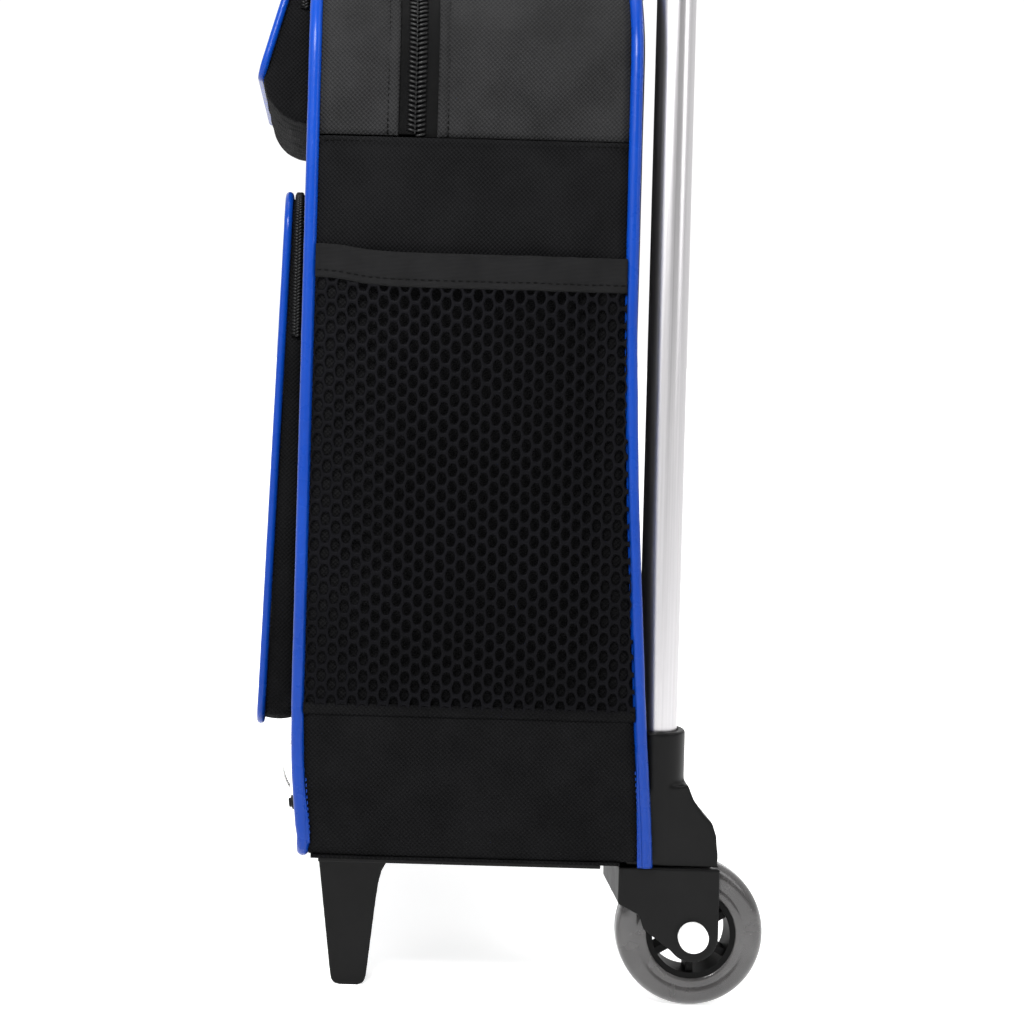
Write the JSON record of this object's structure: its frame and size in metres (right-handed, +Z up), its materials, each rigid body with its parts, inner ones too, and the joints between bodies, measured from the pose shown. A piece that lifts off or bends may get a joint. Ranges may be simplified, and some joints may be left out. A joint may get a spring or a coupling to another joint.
{
  "type": "wheeled bowling ball bag",
  "caption": "Wheeled soft bag for bowling balls with a fold-down zipped lid, front and mesh pockets, feet, rear wheels and a telescopic trolley handle.",
  "frame": {"origin": "on the floor, within 4 mm of the centre of the outline seen from above", "axes": "+Z up, -Y towards the front with the zipped pockets, +Y towards the trolley and wheels, +X across the width, to the left of someone who faces the trolley from behind"},
  "size_m": [0.4768, 0.377, 0.825],
  "materials": {
    "fabric_black": "woven polyester, satin",
    "piping_blue": "glossy PVC piping",
    "zip_black": "woven tape with coil teeth",
    "mesh_black": "open knitted mesh",
    "binding_grey": "ribbed webbing",
    "lining_board": "stiff board",
    "foam_grey": "closed-cell foam",
    "moulded_black": "textured moulding",
    "tube_silver": "satin anodised",
    "steel_bright": "bright",
    "tyre_clear": "smoky translucent polyurethane",
    "hub_black": "moulded nylon",
    "cap_white": "polished head",
    "zip_metal": "dark enamel",
    "tag_clear": "clear flexible plastic"
  },
  "bodies": {
    "root": {"base_tray": "moulded_black", "base_panel": "fabric_black", "side_panel_l": "fabric_black", "side_panel_r": "fabric_black", "front_panel": "fabric_black", "back_panel": "fabric_black", "back_board": "lining_board", "top_gusset": "fabric_black", "front_piping": "piping_blue", "rear_piping": "piping_blue", "zip_tape_rear": "zip_black", "mesh_pocket_l": "mesh_black", "mesh_pocket_r": "mesh_black", "mesh_bindings": "binding_grey", "ball_cradle": "foam_grey", "lower_pocket": "fabric_black", "lower_pocket_piping": "piping_blue", "lower_pocket_zip": "zip_black", "grab_handle": "binding_grey", "rear_bracket_l": "moulded_black", "rear_bracket_r": "moulded_black", "wheel_fork_l": "moulded_black", "wheel_fork_r": "moulded_black", "wheel_axles": "cap_white", "foot_l": "moulded_black", "foot_r": "moulded_black", "bracket_screws": "steel_bright", "outer_tube_l": "tube_silver", "outer_tube_r": "tube_silver", "tube_brace": "moulded_black", "bumper_studs": "moulded_black", "tag_loop": "tag_clear"},
    "lid": {"lid_panel": "fabric_black", "lid_gusset": "fabric_black", "lid_piping": "piping_blue", "zip_tape_front": "zip_black", "upper_pocket": "fabric_black", "upper_pocket_piping": "piping_blue", "upper_pocket_zip": "zip_black"},
    "zip_slider_l": {"zip_slider_l": "zip_metal"},
    "zip_slider_r": {"zip_slider_r": "zip_metal"},
    "zip_pull_l": {"zip_pull_l": "zip_metal"},
    "zip_pull_r": {"zip_pull_r": "zip_metal"},
    "lower_slider": {"lower_pocket_slider": "zip_metal"},
    "lower_pull": {"lower_pocket_pull": "zip_metal"},
    "upper_slider": {"upper_pocket_slider": "zip_metal"},
    "upper_pull": {"upper_pocket_pull": "zip_metal"},
    "handle": {"inner_tube_l": "tube_silver", "inner_tube_r": "tube_silver", "lock_plugs": "moulded_black", "handle_grip": "moulded_black"},
    "button": {"handle_button": "moulded_black", "push_rods": "steel_bright"},
    "lock_pins": {"lock_pins": "steel_bright"},
    "wheel_l": {"tyre_l": "tyre_clear", "hub_l": "hub_black", "bearings_l": "steel_bright"},
    "wheel_r": {"tyre_r": "tyre_clear", "hub_r": "hub_black", "bearings_r": "steel_bright"}
  },
  "joints": [
    {"name": "lid_fold", "type": "hinge", "parent": "root", "child": "lid", "pos_m": [0, -0.1495, 0.6095], "axis": [1, 0, 0], "range_deg": [0, 75]},
    {"name": "zip_slide_l", "type": "slide", "parent": "lid", "child": "zip_slider_l", "axis": [-1, 0, 0], "range_m": [0, 0.115]},
    {"name": "zip_slide_r", "type": "slide", "parent": "lid", "child": "zip_slider_r", "axis": [1, 0, 0], "range_m": [0, 0.115]},
    {"name": "zip_pull_swing_l", "type": "hinge", "parent": "zip_slider_l", "child": "zip_pull_l", "pos_m": [-0.009, -0.073, 0.7575], "axis": [0, 1, 0], "range_deg": [0, 100]},
    {"name": "zip_pull_swing_r", "type": "hinge", "parent": "zip_slider_r", "child": "zip_pull_r", "pos_m": [0.009, -0.073, 0.7575], "axis": [0, -1, 0], "range_deg": [0, 100]},
    {"name": "lower_zip_slide", "type": "slide", "parent": "root", "child": "lower_slider", "axis": [1, 0, 0], "range_m": [0, 0.12]},
    {"name": "lower_pull_swing", "type": "hinge", "parent": "lower_slider", "child": "lower_pull", "pos_m": [-0.06, -0.1541, 0.57695], "axis": [0, -1, 0], "range_deg": [0, 100]},
    {"name": "upper_zip_slide", "type": "slide", "parent": "lid", "child": "upper_slider", "axis": [1, 0, 0], "range_m": [0, 0.12]},
    {"name": "upper_pull_swing", "type": "hinge", "parent": "upper_slider", "child": "upper_pull", "pos_m": [-0.06, -0.1541, 0.7435], "axis": [0, -1, 0], "range_deg": [0, 100]},
    {"name": "handle_extend", "type": "slide", "parent": "root", "child": "handle", "axis": [0, 0, 1], "range_m": [0, 0.275]},
    {"name": "button_press", "type": "slide", "parent": "handle", "child": "button", "axis": [0, 0, -1], "range_m": [0, 0.004], "stiffness_N_per_m": 400, "springref_m": -0.003},
    {"name": "lock_pin_travel", "type": "slide", "parent": "handle", "child": "lock_pins", "axis": [0, 1, 0], "range_m": [0, 0.003]},
    {"name": "wheel_spin_l", "type": "hinge", "parent": "root", "child": "wheel_l", "pos_m": [-0.205, 0.1371, 0.052], "axis": [1, 0, 0], "continuous": true},
    {"name": "wheel_spin_r", "type": "hinge", "parent": "root", "child": "wheel_r", "pos_m": [0.205, 0.1371, 0.052], "axis": [1, 0, 0], "continuous": true}
  ]
}
